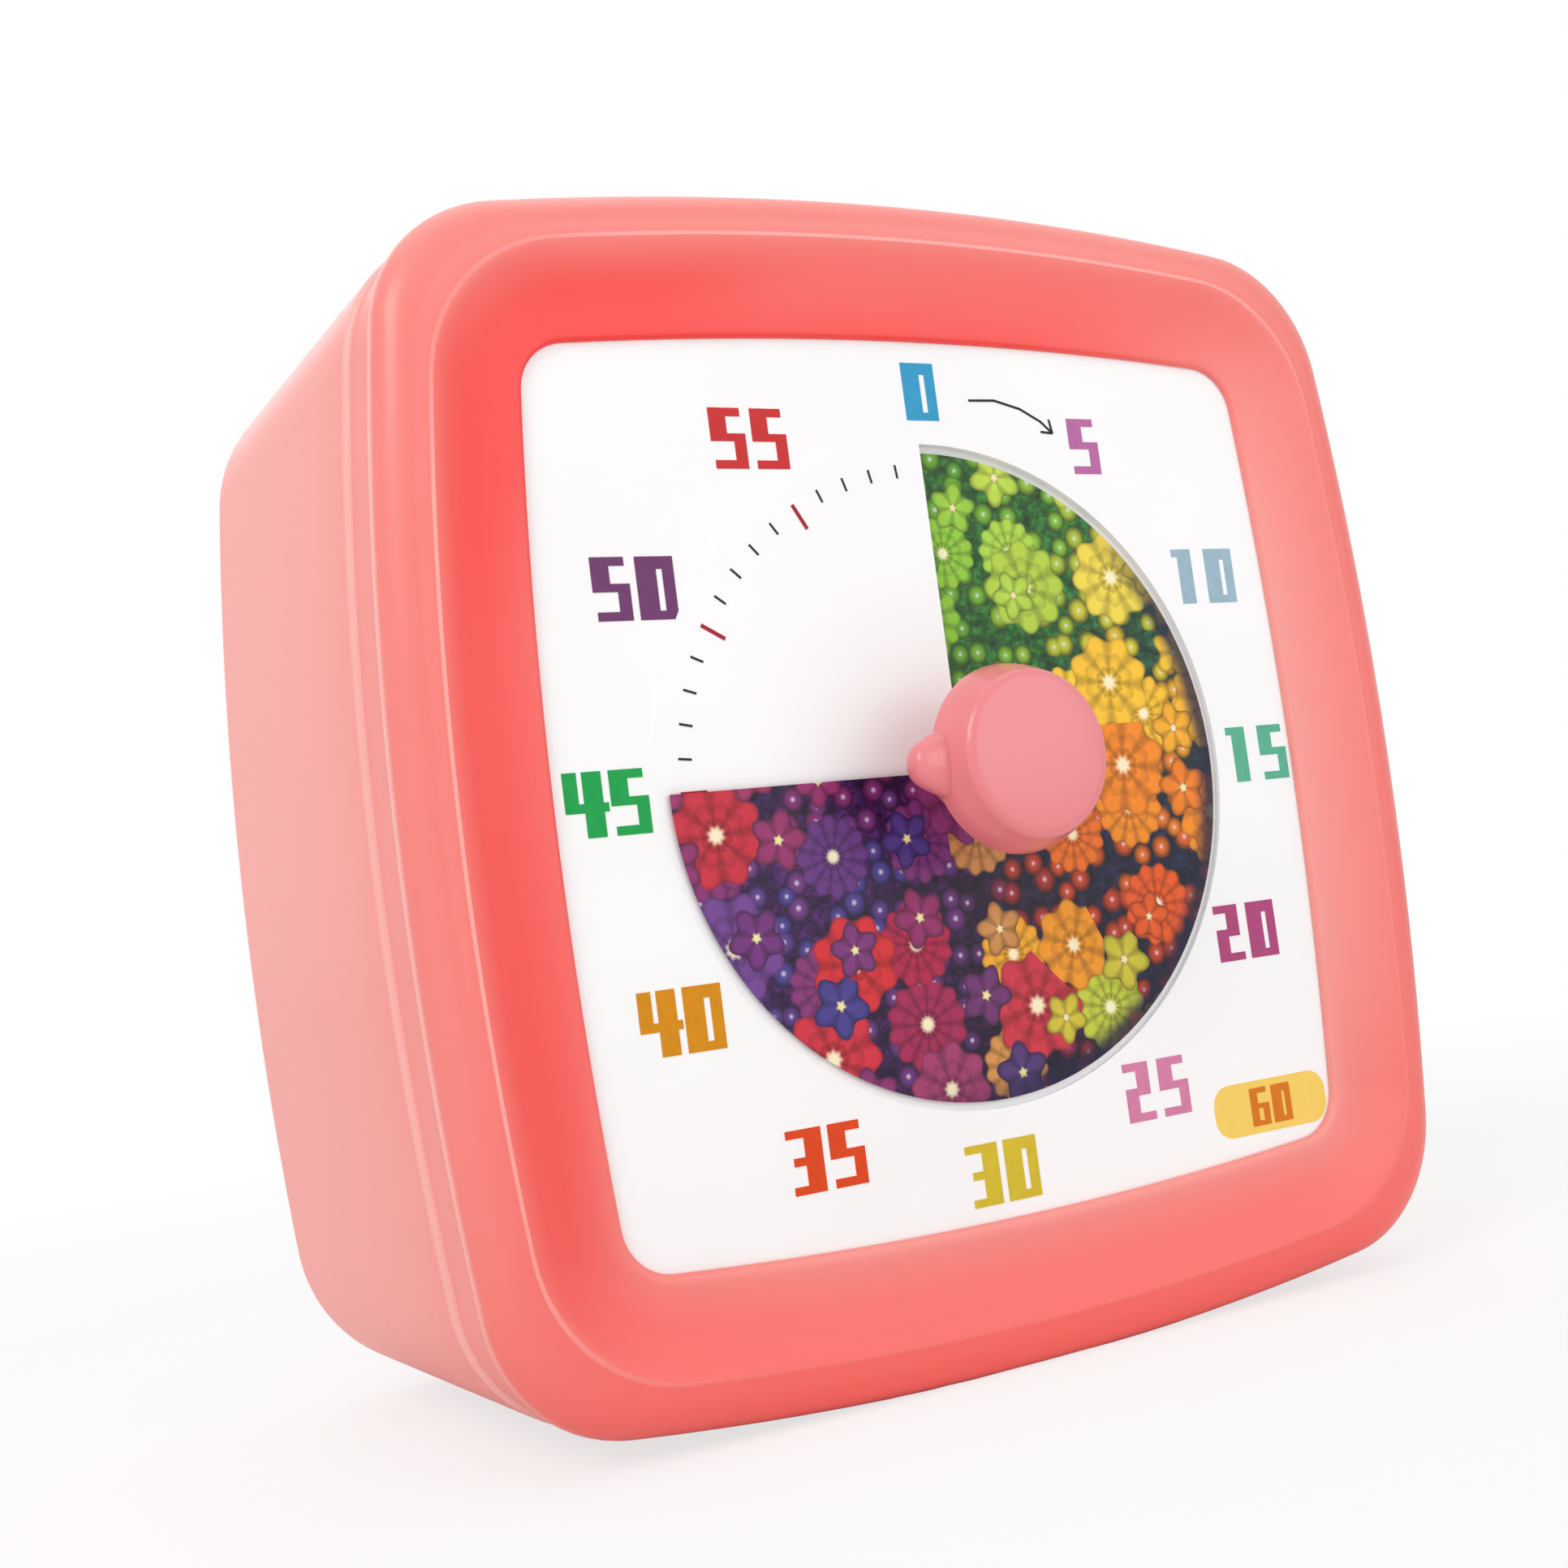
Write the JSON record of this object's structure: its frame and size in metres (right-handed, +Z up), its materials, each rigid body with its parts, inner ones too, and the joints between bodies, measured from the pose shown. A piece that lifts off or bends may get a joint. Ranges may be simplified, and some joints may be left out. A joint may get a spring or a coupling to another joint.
{
  "type": "visual countdown timer",
  "caption": "Square desk countdown timer: a knob winds a coloured disc over a numbered dial and the disc turns away behind the dial as the minutes run out.",
  "frame": {"origin": "middle of the bounding box's underside, on the moulded flat that the timer stands on", "axes": "+Z up, the dial and knob face -Y, +X to the right as the viewer faces the dial"},
  "size_m": [0.085, 0.0522, 0.0847],
  "materials": {
    "coral_plastic": "semi-gloss",
    "coral_case": "satin",
    "pink_plastic": "satin",
    "white_dial": "matt",
    "printed_film": "printed, satin",
    "white_plastic": "moulded",
    "black_plastic": "moulded",
    "clear_plastic": "moulded",
    "shaft_steel": "turned",
    "screw_steel": "zinc plated",
    "spring_steel": "bright",
    "nickel_strip": "nickel plated",
    "iron_yoke": "stamped",
    "copper_winding": "enamelled",
    "magnet": "sintered",
    "green_board": "lacquered",
    "epoxy": "cured",
    "crystal_can": "drawn",
    "sounder_brass": "bright",
    "cell_wrap": "wrapped"
  },
  "bodies": {
    "case": {"front_bezel": "coral_plastic", "case_body": "coral_case", "dial_plate": "white_dial", "movement_front": "black_plastic", "movement_back": "black_plastic", "stator": "iron_yoke", "coil": "copper_winding", "battery": "cell_wrap", "contact_plus": "nickel_strip", "contact_minus": "nickel_strip", "circuit_board": "green_board", "chip": "epoxy", "crystal": "crystal_can", "sound_disc": "sounder_brass", "switch_body": "black_plastic", "movement_screw_1": "screw_steel", "movement_screw_2": "screw_steel", "movement_screw_3": "screw_steel", "movement_screw_4": "screw_steel", "case_screw_1": "screw_steel", "case_screw_2": "screw_steel", "case_screw_3": "screw_steel", "case_screw_4": "screw_steel"},
    "knob": {"knob": "pink_plastic", "knob_shaft": "shaft_steel", "arbor_wheel": "white_plastic", "clutch_spring": "spring_steel"},
    "disc": {"printed_disc": "printed_film", "disc_hub": "pink_plastic"},
    "middle": {"middle_wheel": "clear_plastic"},
    "rotor": {"rotor": "magnet"},
    "slider": {"volume_slider": "black_plastic"},
    "door": {"battery_door": "coral_case"}
  },
  "joints": [
    {"name": "knob_turn", "type": "hinge", "parent": "case", "child": "knob", "pos_m": [0, -0.01615, 0.04217], "axis": [0, 1, 0], "range_deg": [-270, 90]},
    {"name": "disc_lift", "type": "slide", "parent": "knob", "child": "disc", "axis": [0, -1, 0], "range_m": [-0.00076, 0.00026]},
    {"name": "middle_turn", "type": "hinge", "parent": "case", "child": "middle", "pos_m": [0.012, -0.00615, 0.04217], "axis": [0, 1, 0], "range_deg": [-361, 1081]},
    {"name": "rotor_turn", "type": "hinge", "parent": "case", "child": "rotor", "pos_m": [0.012, -0.00615, 0.05092], "axis": [0, 1, 0], "range_deg": [-6482, 2162]},
    {"name": "volume_slide", "type": "slide", "parent": "case", "child": "slider", "axis": [1, 0, 0], "range_m": [0, 0.004]},
    {"name": "door_tip", "type": "hinge", "parent": "case", "child": "door", "pos_m": [0, 0.02615, 0.00897], "axis": [-1, 0, 0], "range_deg": [0, 70]}
  ],
  "couplings": [
    {"joint": "disc_lift", "follows": "knob_turn", "m_per_rad": 0.00015915},
    {"joint": "middle_turn", "follows": "knob_turn", "ratio": -4},
    {"joint": "rotor_turn", "follows": "knob_turn", "ratio": 24}
  ]
}
